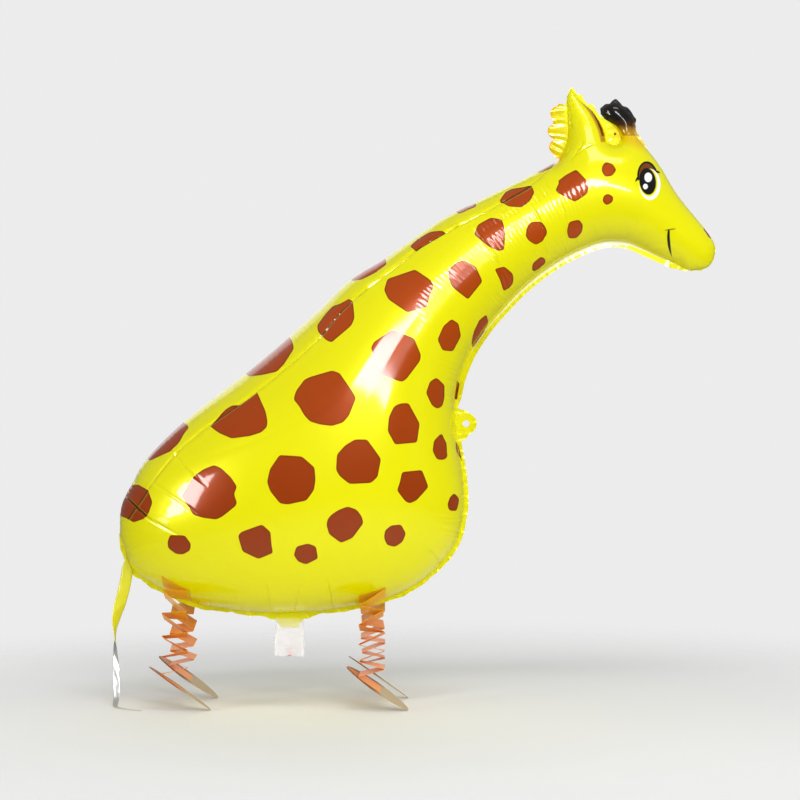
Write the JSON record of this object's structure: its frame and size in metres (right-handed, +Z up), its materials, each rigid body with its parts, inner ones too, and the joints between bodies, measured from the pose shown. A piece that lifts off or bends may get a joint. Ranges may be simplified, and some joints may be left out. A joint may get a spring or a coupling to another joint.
{
  "type": "giraffe foil balloon",
  "caption": "Inflated foil giraffe that stands on folded film legs, with a raised neck, ear and horn, brown spots, a string tab and a ribbon tail.",
  "frame": {"origin": "middle of the bounding box in X and Y, on the floor that the toes stand on", "axes": "+X the way the giraffe faces, +Y its left side, across the two welded sheets, +Z up"},
  "size_m": [0.7528, 0.2362, 0.7695],
  "materials": {
    "printed_foil": "glossy printed foil film, yellow with brown spots",
    "clear_film": "clear glossy film",
    "ribbon_foil": "glossy foil, yellow on one side and silver on the other",
    "orange_film": "translucent glossy orange film",
    "foot_card": "satin coated card, orange-brown at the heel and tan at the toe"
  },
  "bodies": {
    "root": {"balloon": "printed_foil", "string_tab": "printed_foil", "filling_neck": "clear_film", "tail_ribbon": "ribbon_foil", "front_leg_right": "orange_film", "front_leg_left": "orange_film", "rear_leg_right": "orange_film", "rear_leg_left": "orange_film", "front_foot_right": "foot_card", "front_foot_left": "foot_card", "rear_foot_right": "foot_card", "rear_foot_left": "foot_card"}
  },
  "joints": []
}
